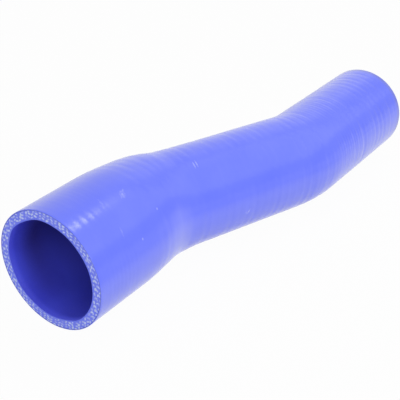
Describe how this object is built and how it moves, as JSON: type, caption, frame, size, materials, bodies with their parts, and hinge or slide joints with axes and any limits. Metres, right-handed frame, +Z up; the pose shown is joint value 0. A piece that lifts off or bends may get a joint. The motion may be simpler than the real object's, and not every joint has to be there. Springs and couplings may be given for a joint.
{
  "type": "radiator hose",
  "caption": "Moulded silicone coolant hose, open right through, that narrows from a large end to a small end between shallow opposite bends.",
  "frame": {"origin": "on the ground, under the middle of the hose's bounding box as it lies at rest", "axes": "+X along both end sections, from the large end to the small end; +Z up; the small end is offset towards -Y"},
  "size_m": [0.2768, 0.0936, 0.066],
  "materials": {
    "blue_silicone": "satin bright blue silicone with a fine wrapped-cloth texture; pale woven plies show in the cut ends"
  },
  "bodies": {
    "root": {"hose_body": "blue_silicone"}
  },
  "joints": []
}
